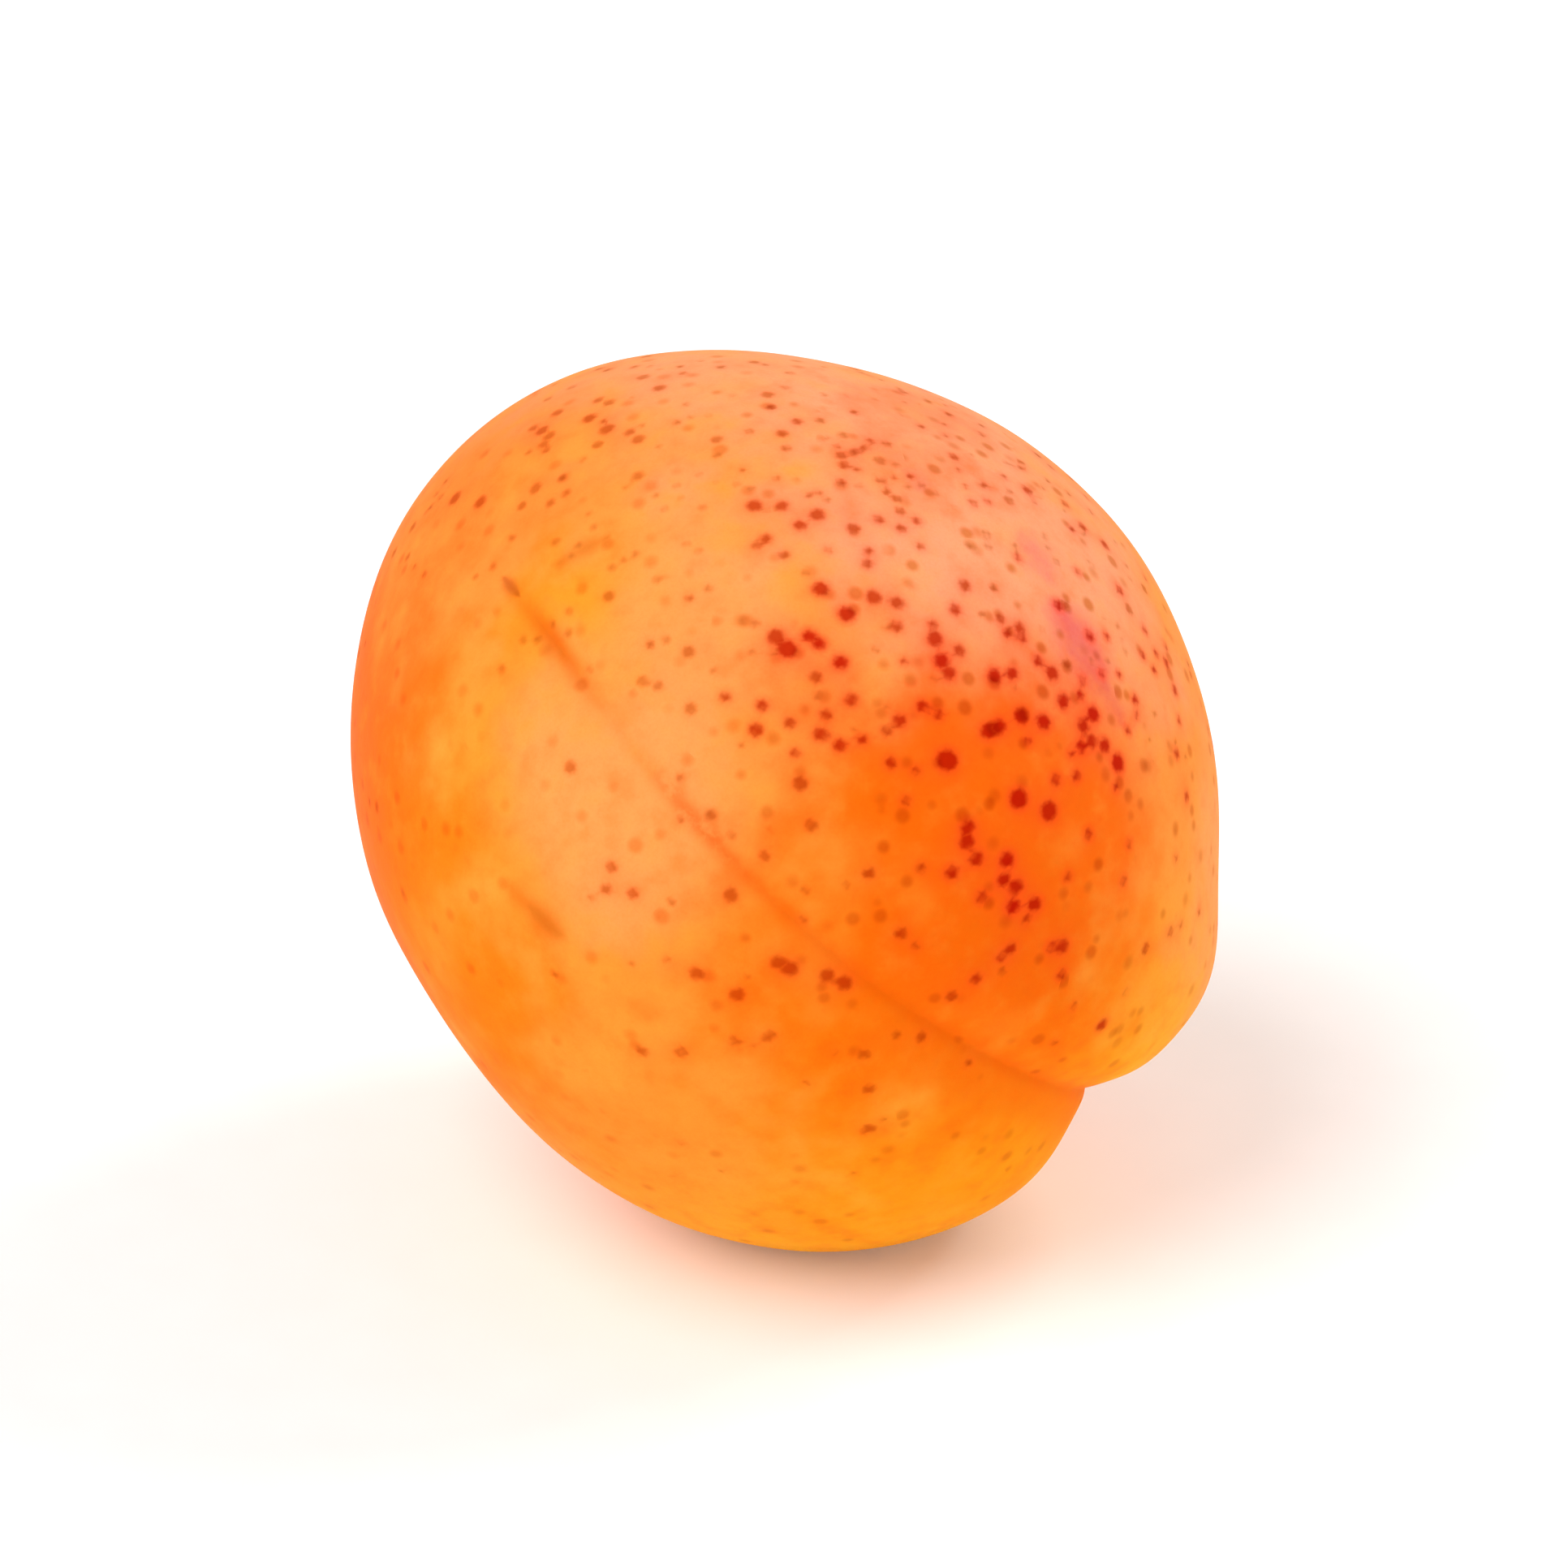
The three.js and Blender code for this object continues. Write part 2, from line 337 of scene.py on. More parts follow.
def spread(density, low, high, count):
    """count + 1 angles from low to high, closer together where density is higher."""
    fine = np.linspace(low, high, TRIAL_STEPS + 1)
    total = np.concatenate([[0], np.cumsum(density(fine[1:]) + density(fine[:-1]))])
    return np.interp(np.linspace(0, total[-1], count + 1), total, fine)


def column_density(angle):
    crease = CREASE_CROWD * hill(angle / CREASE_CROWD_REACH)
    valley = VALLEY_CROWD * hill(angle / VALLEY_CROWD_REACH)
    cheek = CHEEK_CROWD * hill((angle - CHEEK_FROM_SUTURE) / CHEEK_CROWD_REACH)
    return 1 + (crease + valley) + cheek


def ring_density(angle):
    apex = APEX_CROWD * hill(angle / APEX_CROWD_REACH)
    stem = STEM_CROWD * hill((math.pi - angle) / STEM_CROWD_REACH)
    return 1 + (apex + stem)


ring_angles = spread(ring_density, 0, math.pi, RINGS)[1:-1]
column_angles = spread(column_density, -math.pi, math.pi, COLUMNS)[:-1]
column_angles -= column_angles[np.argmin(np.abs(column_angles))]
closest = TO_SUTURE * np.diff(column_angles).min()
print("closest columns:", round(closest, 3), "mm at the widest ring")

# %% Fine mesh of the skin
poles = np.array([[0.0, 0.0], [math.pi, 0.0]])
grid = np.stack(np.meshgrid(ring_angles, column_angles, indexing="ij"), axis=-1).reshape(-1, 2)
angles = np.concatenate([poles[:1], grid, poles[1:]])
points, distances = resting_point(angles[:, 0], angles[:, 1])
box_middle = (points.max(axis=0) + points.min(axis=0)) / 2
frame_middle = np.array((fruit_low + fruit_high) / 2) / MILLIMETRE
middle = np.array([frame_middle[0] - box_middle[0], frame_middle[1] - box_middle[1], MIDDLE_HEIGHT])
points[:, :2] += middle[:2]

first = np.arange(1, len(points) - 1).reshape(RINGS - 1, COLUMNS)
next_column = np.roll(first, -1, axis=1)
quads = np.stack([first[:-1], first[1:], next_column[1:], next_column[:-1]], axis=-1).reshape(-1, 4)
apex_fan = np.stack([np.zeros(COLUMNS, int), first[0], next_column[0]], axis=-1)
stem_fan = np.stack([first[-1], np.full(COLUMNS, len(points) - 1), next_column[-1]], axis=-1)
faces = quads.tolist() + apex_fan.tolist() + stem_fan.tolist()

skin_mesh = bpy.data.meshes.new("apricot_skin")
skin_mesh.from_pydata((points * MILLIMETRE).tolist(), [], faces)
skin_mesh.shade_smooth()
skin = bpy.data.objects.new("apricot_skin", skin_mesh)
bpy.context.scene.collection.objects.link(skin)
print("skin:", len(points), "points,", 2 * len(quads) + 2 * COLUMNS, "triangles")

# %% [markdown]
# ## Freckles
#
# Where the sun caught the cheek, the skin made dark red specks, and each speck flushed the skin round
# it. They could be a texture of random cells, but then they would be spread evenly. Real ones come
# alone or in streaks, where drops of rain ran down, and they thicken towards the sunniest place. So
# there are three kinds here: lone specks and streaks, whose places are listed, and a scatter that
# follows the sun. What is random comes from one fixed seed, so it never changes.
#
# What is stored on the mesh isn't a colour. It is the distance to the nearest speck's edge,
# which stays sharp when a shader cuts it later.

# %% Tools for specks
SKIN_RADIUS = 22.0
TOUCHING, APART = -0.15, 0.12
STYLE_CLEARANCE = 2.4
SEED = 11
dice = np.random.default_rng(SEED)
specks = []


def place_on_skin(from_apex, from_suture):
    """Points of the resting skin at these angles in degrees."""
    place = resting_point(np.radians(from_apex), np.radians(from_suture))[0]
    place[..., :2] += middle[:2]
    return place


STYLE_PLACE = place_on_skin(2, 0)


def add_specks(places, radii, redness, gap):
    """Add each speck that keeps clear of the style's mark and of those already there."""
    for place, radius, red in zip(places, radii, redness):
        room = [math.dist(place, other[0]) - radius - other[1] for other in specks]
        clear_of_style = math.dist(place, STYLE_PLACE) > STYLE_CLEARANCE
        if clear_of_style and (not room or min(room) > gap):
            specks.append((place, radius, red))


# %% Lone freckles
# place as degrees from apex and suture, radius in mm, redness
LONE_SPECKS = [
    ((41, -18), 0.32, 0.45),
    ((43, -21), 0.33, 0.4),
    ((45, -17), 0.33, 0.5),
    ((52, -4), 0.4, 0.45),
    ((83, -2), 0.3, 0.4),
    ((28, -17), 0.36, 0.3),
    ((29, 26), 0.36, 0.35),
    ((33, 15), 0.34, 0.3),
    ((16, 34), 0.34, 0.3),
    ((26, 13), 0.32, 0.2),
    ((49, 16), 0.4, 0.55),
    ((53, 12), 0.34, 0.4),
    ((45, 63), 0.38, 0.6),
    ((27, 132), 0.42, 0.5),
    ((25, 122), 0.44, 0.45),
    ((26, 147), 0.4, 0.4),
    ((17, 170), 0.42, 0.45),
    ((23, 180), 0.44, 0.45),
]
for where, radius, red in LONE_SPECKS:
    add_specks([place_on_skin(*where)], [radius], [red], TOUCHING)
print("lone specks:", len(specks))

# %% Streaks of freckles
# start and end as degrees from apex and suture, wander in mm, count, smallest and largest
# radius in mm, redness
STREAKS = [
    ((33, 70), (40, 65), 0.5, 4, 0.33, 0.45, 0.7),
    ((32, 62), (39, 57), 0.4, 3, 0.25, 0.39, 0.6),
    ((40, 50), (47, 44), 0.2, 2, 0.43, 0.47, 0.9),
    ((46, 54), (52, 42), 0.6, 3, 0.29, 0.45, 0.8),
    ((38, 37), (40, 36), 0.2, 2, 0.39, 0.51, 0.9),
    ((42, 39), (47, 37), 0.12, 6, 0.29, 0.47, 1.0),
    ((37, 18), (50, 25), 0.5, 9, 0.25, 0.39, 0.8),
    ((46, 31), (57, 24), 0.7, 6, 0.27, 0.39, 0.8),
    ((55, 47), (62, 40), 0.4, 5, 0.33, 0.47, 0.95),
    ((56, 35), (61, 35), 0.3, 4, 0.29, 0.41, 0.9),
    ((62.6, 30.6), (63.4, 29.6), 0.05, 3, 0.47, 0.57, 1.0),
    ((64, 45), (73, 47), 0.5, 6, 0.31, 0.45, 0.95),
    ((65, 37), (73, 41), 0.4, 6, 0.35, 0.47, 1.0),
    ((77, 44), (83, 41), 0.6, 9, 0.35, 0.51, 1.0),
    ((73, 30), (75, 30), 0.15, 2, 0.47, 0.55, 1.0),
    ((78, 30), (80, 28), 0.15, 4, 0.45, 0.53, 1.0),
    ((68, 24), (73, 16), 0.7, 5, 0.31, 0.43, 0.9),
    ((75, 22), (82, 17), 0.5, 8, 0.35, 0.49, 1.0),
    ((80, 9), (92, 16), 0.8, 7, 0.29, 0.41, 0.8),
    ((104, 11), (106, 10), 0.1, 2, 0.33, 0.45, 0.8),
    ((63, -31), (70, -12), 0.1, 4, 0.32, 0.42, 0.4),
    ((60, -7), (71, -1), 0.12, 4, 0.33, 0.43, 0.6),
    ((56, -17), (64, -12), 0.08, 2, 0.4, 0.46, 0.5),
    ((77, -6), (91, -18), 0.1, 3, 0.33, 0.4, 0.4),
    ((41, 86), (41, 97), 0.7, 5, 0.27, 0.43, 0.6),
    ((45, 72), (53, 82), 1.0, 9, 0.25, 0.39, 0.6),
    ((47, 61), (54, 66), 0.8, 6, 0.25, 0.37, 0.7),
    ((58, 53), (68, 50), 0.8, 8, 0.27, 0.37, 0.8),
    ((14, 142), (32, 130), 1.3, 9, 0.3, 0.42, 0.3),
]
# where in its own step a speck may fall, and how much of the streak's redness it has at least
WITHIN_STEP, LEAST_REDNESS_SHARE = (0.2, 0.8), 0.8
for start, end, wander, count, smallest, largest, red in STREAKS:
    share = (np.arange(count) + dice.uniform(*WITHIN_STEP, count)) / count
    along = np.outer(1 - share, start) + np.outer(share, end)
    across = dice.normal(0, wander / SKIN_RADIUS / DEGREE, (count, 2))
    across[:, 1] /= np.sin(along[:, 0] * DEGREE)
    places = place_on_skin(*(along + across).T)
    radii = dice.uniform(smallest, largest, count)
    add_specks(places, radii, red * dice.uniform(LEAST_REDNESS_SHARE, 1.0, count), TOUCHING)
print("with those in streaks:", len(specks))

# %% Freckles scattered by the sun
# middle of the scatter as degrees from apex and suture, reach in mm, count, smallest and
# largest radius in mm, redness
SCATTERS = [
    ((76, 50), 13.0, 110, 0.2, 0.36, 0.95),
    ((58, 80), 10.0, 44, 0.17, 0.32, 0.6),
    ((36, 124), 9.0, 44, 0.24, 0.4, 0.4),
    ((32, -168), 7.0, 20, 0.22, 0.36, 0.35),
    ((34, 20), 11.0, 30, 0.2, 0.32, 0.25),
    ((66, -22), 9.0, 14, 0.16, 0.28, 0.4),
    ((95, 95), 14.0, 70, 0.22, 0.37, 0.45),
    ((68, 76), 12.0, 110, 0.16, 0.27, 0.15),
    ((30, 70), 11.0, 44, 0.17, 0.28, 0.15),
    ((60, 165), 12.0, 46, 0.15, 0.3, 0.45),
    ((110, -150), 22.0, 70, 0.15, 0.28, 0.25),
    ((80, -110), 9.0, 26, 0.16, 0.34, 0.6),
]
SMALLER_MORE_OFTEN = 1.6
FAR_REDNESS = 0.4
for centre, reach, count, smallest, largest, red in SCATTERS:
    steps = dice.normal(0, reach / SKIN_RADIUS / DEGREE / math.sqrt(2), (count, 2))
    apex_angles = centre[0] + steps[:, 0]
    suture_angles = centre[1] + steps[:, 1] / math.sin(centre[0] * DEGREE)
    radii = smallest + (largest - smallest) * dice.random(count) ** SMALLER_MORE_OFTEN
    nearness = hill(np.hypot(*steps.T) * DEGREE * SKIN_RADIUS / reach)
    fading = FAR_REDNESS + (1 - FAR_REDNESS) * nearness
    add_specks(place_on_skin(apex_angles, suture_angles), radii, red * fading, APART)
print("specks in all:", len(specks))

# %% Distance to the nearest speck
FLUSH_STRENGTH, FULL_FLUSH_RADIUS = 0.5, 0.45
FLUSH_REACH, FLUSH_REACH_GAIN = 0.45, 1.6
SUNNIEST, SUN_REACH = (72, 52), 17
NO_SPECK = -9.0
speck_edge = np.full(len(points), NO_SPECK)
speck_redness = np.zeros(len(points))
unflushed = np.ones(len(points))
for centre, radius, red in specks:
    away = np.linalg.norm(points - centre, axis=1)
    nearer = radius - away > speck_edge
    speck_edge[nearer] = (radius - away)[nearer]
    speck_redness[nearer] = red
    strongest = FLUSH_STRENGTH * red * radius / FULL_FLUSH_RADIUS
    unflushed *= 1 - strongest * hill(away / (FLUSH_REACH + FLUSH_REACH_GAIN * radius))
from_sunniest = np.linalg.norm(points - place_on_skin(*SUNNIEST), axis=1)

# %% [markdown]
# ## Scuffs, rose streaks and the style's mark
#
# A twig rubbed the skin near the apex, a few spots were bruised, and on the sunny cheek the
# red showed through the bloom in short rose streaks. Each is a stroke between two places,
# widest in the middle, so one function draws them all.

# %% Draw the strokes
STROKE_STEPS, END_WIDTH_SHARE = 12, 0.25


def stroke(start, end, half_width):
    """For each point, 1 on the stroke's middle line and fading to 0 at its sides."""
    share = np.linspace(0, 1, STROKE_STEPS)
    line = place_on_skin(*(np.outer(1 - share, start) + np.outer(share, end)).T)
    widths = half_width * (END_WIDTH_SHARE + (1 - END_WIDTH_SHARE) * np.sin(math.pi * share))
    away = [np.linalg.norm(points - at, axis=1) / width for at, width in zip(line, widths)]
    return hill(np.min(away, axis=0))


def strongest_stroke(rows):
    return np.max([strength * stroke(*shape) for *shape, strength in rows], axis=0)


# start and end as degrees from apex and suture, half width in mm, strength
SCUFFS = [
    ((7.0, 59), (14.5, 67), 0.5, 0.6),
    ((10.5, 63), (13, 66), 0.6, 0.7),
    ((38.5, -42), (42, -38), 0.6, 0.6),
    ((41.5, -38), (46.5, -33), 0.75, 1.0),
    ((57, -28), (60, -24), 0.6, 0.35),
    ((70, 158), (78, 166), 0.5, 0.6),
    ((96, -128), (99, -118), 0.6, 0.7),
    ((99, -124), (104, -121), 0.4, 0.5),
    ((118, 120), (122, 128), 0.6, 0.5),
]
ROSE_STREAKS = [
    ((73, 58), (82, 49), 2.2, 0.95),
    ((69, 69), (73, 62), 1.8, 0.6),
    ((81, 50), (86, 46), 1.2, 0.7),
    ((54, 78), (56, 73), 1.0, 0.5),
]
STYLE_MARK = [((-1.6, 0), (2.6, 0), 0.42, 1.0)]

# %% Store the distances on the mesh
stored = {
    "aside": distances["aside"],
    "from_axis": distances["from_axis"],
    "from_apex": angles[:, 0] / DEGREE,
    "speck_edge": speck_edge,
    "speck_redness": speck_redness,
    "flush": 1 - np.clip(unflushed, 0, 1),
    "sun": hill(from_sunniest / SUN_REACH),
    "scuff": strongest_stroke(SCUFFS),
    "rose": strongest_stroke(ROSE_STREAKS),
    "style_mark": strongest_stroke(STYLE_MARK),
}
for name, values in stored.items():
    attribute = skin_mesh.attributes.new(name, "FLOAT", "POINT")
    attribute.data.foreach_set("value", values.astype(np.float32))
print("stored on each point:", ", ".join(stored))

# %% [markdown]
# ## Shader maths that reads like maths
#
# A shader is a graph, and a graph is hard to read as code. The class `Wire` holds one
# socket and answers to `+`, `-`, `*` and the rest by adding a Math node, so that
# `1 - mask` or `depth * 0.5` can be written as it stands. Every other node comes from
# `Shader.node`, which takes the node's type, its settings and its sockets, in that order.

# %% Wires and shaders
class Wire:
    """One output socket, which grows Math nodes when it is used in a sum."""

    def __init__(self, shader, socket):
        self.shader = shader
        self.socket = socket

    def __add__(self, other):
        return self.shader.maths("ADD", self, other)

    def __sub__(self, other):
        return self.shader.maths("SUBTRACT", self, other)

    def __rsub__(self, other):
        return self.shader.maths("SUBTRACT", other, self)

    def __mul__(self, other):
        return self.shader.maths("MULTIPLY", self, other)

    def __truediv__(self, other):
        return self.shader.maths("DIVIDE", self, other)

    def twin(self, output):
        """Another output of the same node."""
        return Wire(self.shader, self.socket.node.outputs[output])

    __radd__ = __add__
    __rmul__ = __mul__


class Shader:
    """The node tree of a material or a world, built one wire at a time."""

    def __init__(self, owner):
        self.owner = owner
        owner.use_nodes = True
        self.tree = owner.node_tree
        self.tree.nodes.clear()

    def node(self, kind, settings=None, sockets=None, output=0):
        made = self.tree.nodes.new("ShaderNode" + kind)
        for name, value in (settings or {}).items():
            setattr(made, name, value)
        for name, value in (sockets or {}).items():
            if isinstance(value, Wire):
                self.tree.links.new(value.socket, made.inputs[name])
            else:
                made.inputs[name].default_value = value
        return Wire(self, made.outputs[output])

    def maths(self, operation, *values):
        return self.node("Math", {"operation": operation}, dict(enumerate(values)))

    def stored(self, name):
        return self.node("Attribute", {"attribute_name": name}, output="Fac")

    def ramp(self, value, low, high):
        """A smooth rise from 0 at low to 1 at high. Low may be above high, for a fall."""
        limits = {"Value": value, "From Min": low, "From Max": high}
        return self.node("MapRange", {"interpolation_type": "SMOOTHSTEP"}, limits)

    def bell(self, value, width):
        share = value / width
        return self.maths("EXPONENT", share * share * -1)

    def noise(self, place, size, detail=2.0):
        """Soft noise about 0.5, with blotches of this size in the units of the place."""
        look = {"Vector": place, "Scale": 1 / size, "Detail": detail, "Roughness": 0.55}
        return self.node("TexNoise", {}, look, "Fac")

    def blend(self, mask, under, over):
        return self.node("Mix", {"data_type": "RGBA"}, {0: mask, 6: under, 7: over}, 2)

    def stain(self, mask, under, tint):
        """Darken a colour as a transparent ink of this tint would."""
        settings = {"data_type": "RGBA", "blend_type": "MULTIPLY"}
        return self.node("Mix", settings, {0: mask, 6: under, 7: tint}, 2)

    def show(self, surface):
        """Send this surface to the output of the material or world."""
        kind = "World" if isinstance(self.owner, bpy.types.World) else "Material"
        shown = self.tree.nodes.new("ShaderNodeOutput" + kind)
        self.tree.links.new(surface.socket, shown.inputs["Surface"])


def paint(code):
    """A web colour such as ff9a45, as the linear colour that shaders work in."""
    parts = [int(code[i : i + 2], 16) / 255 for i in (0, 2, 4)]
    linear = [p / 12.92 if p <= 0.04045 else ((p + 0.055) / 1.055) ** 2.4 for p in parts]
    return (*linear, 1.0)


def centred(noise, spread):
    """Noise about 0 instead of about 0.5, and this many times as wide."""
    return (noise - 0.5) * spread


# %% [markdown]
# ## The ground colour of the skin
#
# Under the freckles the skin is eleven oranges that melt into each other: golden where it hung in the
# shade, deep orange where the sun caught it, and a pale rose bloom above that, which also paints the
# sheen and highlight of the light at the right and behind. At the left edge, ember and orange patches
# paint shade and warm reflected light.
# Each is one or more round patches. The angle between a place and a patch's centre goes
# through a smooth ramp, and noise moves the edge in and out, or the patch would look
# airbrushed.

# %% Skin: place and patches
# size of the noises in millimetres, and how far they move a patch's edge in degrees
BLOTCH_SIZE, MOTTLE_SIZE = 6.0, 1.7
EDGE_WOBBLE, EDGE_FRAY = 34, 10
coat = Shader(bpy.data.materials.new("apricot_skin"))
object_place = coat.node("TexCoord", output="Object")
place_and_middle = {0: object_place, 1: tuple(middle * MILLIMETRE)}
from_middle = coat.node("VectorMath", {"operation": "SUBTRACT"}, place_and_middle)
in_millimetres = {0: from_middle, "Scale": 1 / MILLIMETRE}
place = coat.node("VectorMath", {"operation": "SCALE"}, in_millimetres)
towards = coat.node("VectorMath", {"operation": "NORMALIZE"}, {0: from_middle})
blotches = coat.noise(place, BLOTCH_SIZE)
mottle = coat.noise(place, MOTTLE_SIZE, 3.0)
wobble = centred(blotches, EDGE_WOBBLE) + centred(mottle, EDGE_FRAY)


def patch(centre, inner, outer):
    """1 within inner degrees of a centre given by its two angles, and 0 past outer degrees."""
    arrow = tuple(Vector(place_on_skin(*centre) - middle).normalized())
    both = {0: towards, 1: arrow}
    nearness = coat.node("VectorMath", {"operation": "DOT_PRODUCT"}, both, "Value")
    away = coat.maths("ARCCOSINE", nearness) / DEGREE
    return coat.ramp(away + wobble, outer, inner)


PEACH = paint("fb923e")
GOLD = paint("fab01e")
# orange, also used for painted shade at the lower left edge
ORANGE = paint("f97a08")
OCHRE = paint("f7931a")
PALE_PEACH = paint("fb9c58")
WARM_PEACH = paint("fa8c2c")
DEEP_ORANGE = paint("f66708")
# ember, also used for painted shade and warm reflected light along the left edge
EMBER = paint("f2640e")
# pale bloom, which also serves as a painted sheen and highlight from the light at the right and
# behind
BLOOM_AND_PAINTED_SHEEN = paint("f9a27c")
AMBER = paint("fa8c04")
ROSY_TAN = paint("ee7c48")
# colour, centre as degrees from apex and suture, inner and outer edge in degrees, strength
PATCHES = [
    (GOLD, (128, -30), 22, 72, 1.0),
    (GOLD, (150, 150), 20, 60, 0.7),
    (OCHRE, (26, -50), 2, 26, 0.6),
    (OCHRE, (14, 30), 2, 13, 1.0),
    (PALE_PEACH, (30, 36), 6, 24, 0.7),
    (WARM_PEACH, (62, -28), 16, 58, 0.8),
    (PALE_PEACH, (36, -8), 6, 24, 0.75),
    # painted shade and warm reflected light along the left edge
    (EMBER, (50, -105), 16, 48, 0.8),
    (EMBER, (24, 178), 4, 34, 0.35),
    # pale bloom patches that also paint the highlight and sheen of the light at the right and behind
    (BLOOM_AND_PAINTED_SHEEN, (66, 72), 14, 44, 0.8),
    (BLOOM_AND_PAINTED_SHEEN, (52, 118), 8, 40, 0.6),
    (ROSY_TAN, (52, 80), 2, 14, 0.6),
    (AMBER, (104, -12), 12, 32, 0.7),
    # painted shade along the lower left edge
    (ORANGE, (61, -64), 8, 28, 0.55),
    (ORANGE, (46, -68), 10, 28, 0.75),
    (EMBER, (46, 30), 2, 12, 0.35),
    (ORANGE, (76, 6), 12, 36, 0.95),
    (DEEP_ORANGE, (76, 22), 11, 34, 0.95),
    (DEEP_ORANGE, (66, 0), 2, 22, 0.5),
    (DEEP_ORANGE, (88, 4), 4, 24, 0.4),
    (DEEP_ORANGE, (60, 8), 4, 20, 0.5),
    (ORANGE, (106, 12), 2, 20, 0.35),
    (PALE_PEACH, (122, 36), 3, 22, 0.85),
    (ROSY_TAN, (62, 96), 2, 14, 0.5),
    # painted shade and warm reflected light along the left edge
    (EMBER, (40, -112), 6, 34, 0.6),
]
colour = PEACH
for patch_colour, centre, inner, outer, strength in PATCHES:
    colour = coat.blend(patch(centre, inner, outer) * strength, colour, patch_colour)

# %% [markdown]
# ## Mottling
#
# Ripe skin isn't one orange even within a millimetre. Paler and redder flecks sit side by
# side, and this is what the eye takes for ripeness.

# %% Skin: mottling
PALE_FLECK = paint("fda83c")
RED_FLECK = paint("f56c14")
FLECK_INK = paint("ffd0a0")
FLECK_SIZE, FLECK_EDGE, FLECK_SHOWS = 0.8, (0.55, 0.25), 0.16
# noise, where in it a fleck begins and is whole, strength, colour
MOTTLING = [
    (blotches, (0.5, 0.75), 0.22, PALE_FLECK),
    (mottle, (0.45, 0.9), 0.22, PALE_FLECK),
    (mottle, (0.55, 0.2), 0.3, RED_FLECK),
]
for noise, edge, strength, fleck in MOTTLING:
    colour = coat.blend(coat.ramp(noise, *edge) * strength, colour, fleck)
flecks = coat.noise(place, FLECK_SIZE, 3.0)
colour = coat.stain(coat.ramp(flecks, *FLECK_EDGE) * FLECK_SHOWS, colour, FLECK_INK)

# %% [markdown]
# ## Paint along the suture
#
# The crease holds less light and its skin is a deeper orange. The distance aside of the
# suture makes thin lines and a soft band, and the angle from the apex says how strong each
# is. Near the apex a groove shows clearly, a quarter of the way down the line is faint and
# broken by flecks, and towards the stem it is unbroken and lies in the band.

# %% Skin: suture
CREASE_ORANGE = paint("dd5606")
GROOVE_ORANGE = paint("d8660e")
BAND_ORANGE = paint("f66e06")
# places and lengths in degrees from the apex, widths in millimetres, and how much each shows
GROOVE_FROM_APEX, GROOVE_LENGTH, GROOVE_WIDTH, GROOVE_SHOWS = 12, 8.5, 0.58, 0.85
BAND_STARTS, BAND_ASIDE, BAND_WIDTH, BAND_SHOWS = (48, 75), -0.9, 1.7, 0.6
LINE_WIDTH, LINE_WAVERS, LINE_STARTS, LINE_DARKENS = 0.5, 0.5, (36, 62), (110, 150)
LINE_SHOWS_EVERYWHERE, LINE_SHOWS_MORE = 0.1, 0.25
BROKEN_FROM_APEX, BROKEN_LENGTH, BROKEN_GAPS, BROKEN_SHOWS = 43, 10, (0.3, 0.55), 0.5
aside = coat.stored("aside")
from_apex = coat.stored("from_apex")
uneven_aside = aside + centred(mottle, LINE_WAVERS)
along_groove = coat.bell(from_apex - GROOVE_FROM_APEX, GROOVE_LENGTH)
groove = along_groove * coat.bell(uneven_aside, GROOVE_WIDTH)
line_start = coat.ramp(from_apex, *LINE_STARTS) * LINE_SHOWS_MORE
line_strength = line_start + coat.ramp(from_apex, *LINE_DARKENS) * LINE_SHOWS_MORE
along_broken = coat.bell(from_apex - BROKEN_FROM_APEX, BROKEN_LENGTH)
broken_line = along_broken * coat.ramp(flecks, *BROKEN_GAPS) * BROKEN_SHOWS
line_strength = line_strength + broken_line + LINE_SHOWS_EVERYWHERE
line = line_strength * coat.bell(uneven_aside, LINE_WIDTH)
band = coat.ramp(from_apex, *BAND_STARTS) * coat.bell(uneven_aside - BAND_ASIDE, BAND_WIDTH)
colour = coat.blend(band * BAND_SHOWS, colour, BAND_ORANGE)
colour = coat.blend(groove * GROOVE_SHOWS, colour, GROOVE_ORANGE)
colour = coat.blend(line, colour, CREASE_ORANGE)

# %% [markdown]
# ## Freckles, flush and scuffs
#
# The stored distance to the nearest speck's edge gets a little noise and is then cut by a
# narrow ramp, which gives each speck a slightly ragged and soft outline. Redness mixes tan
# specks into dark red ones and makes them stronger, and the flush lies under them all.

# %% Skin: freckles and scuffs
FLUSH_RED = paint("f8431c")
RED_INK = (0.54, 0.03, 0.0, 1.0)
TAN_INK = (0.62, 0.4, 0.2, 1.0)
PORE_INK = (0.74, 0.54, 0.32, 1.0)
ROSE_INK = (0.86, 0.48, 0.82, 1.0)
SCUFF_ORANGE = paint("cc6614")
RAGGED_SIZE, RAGGEDNESS = 0.4, 0.24
# how far outside the speck's edge each begins, and how far inside it is whole, in mm
SKIRT_EDGE, SPECK_EDGE = (-0.4, 0.0), (-0.14, 0.2)
RED_INK_BY_REDNESS, STRENGTH_BY_REDNESS = (0.3, 1.15), (-0.6, 0.6)
ROSE_EDGE, ROSE_FLECKS, ROSE_MOTTLE = (0.15, 1.1), 0.6, 0.3
FLUSH_SHOWS, SCUFF_SHOWS, SKIRT_SHOWS, SPECK_SHOWS = 0.6, 0.85, 0.45, 0.95
redness = coat.stored("speck_redness")
ragged = coat.stored("speck_edge") + centred(coat.noise(place, RAGGED_SIZE), RAGGEDNESS)
skirt = coat.ramp(ragged, *SKIRT_EDGE) * redness * redness
speck = coat.ramp(ragged, *SPECK_EDGE)
speck_strength = speck * coat.ramp(redness, *STRENGTH_BY_REDNESS) * SPECK_SHOWS
ink = coat.blend(coat.ramp(redness, *RED_INK_BY_REDNESS), TAN_INK, RED_INK)
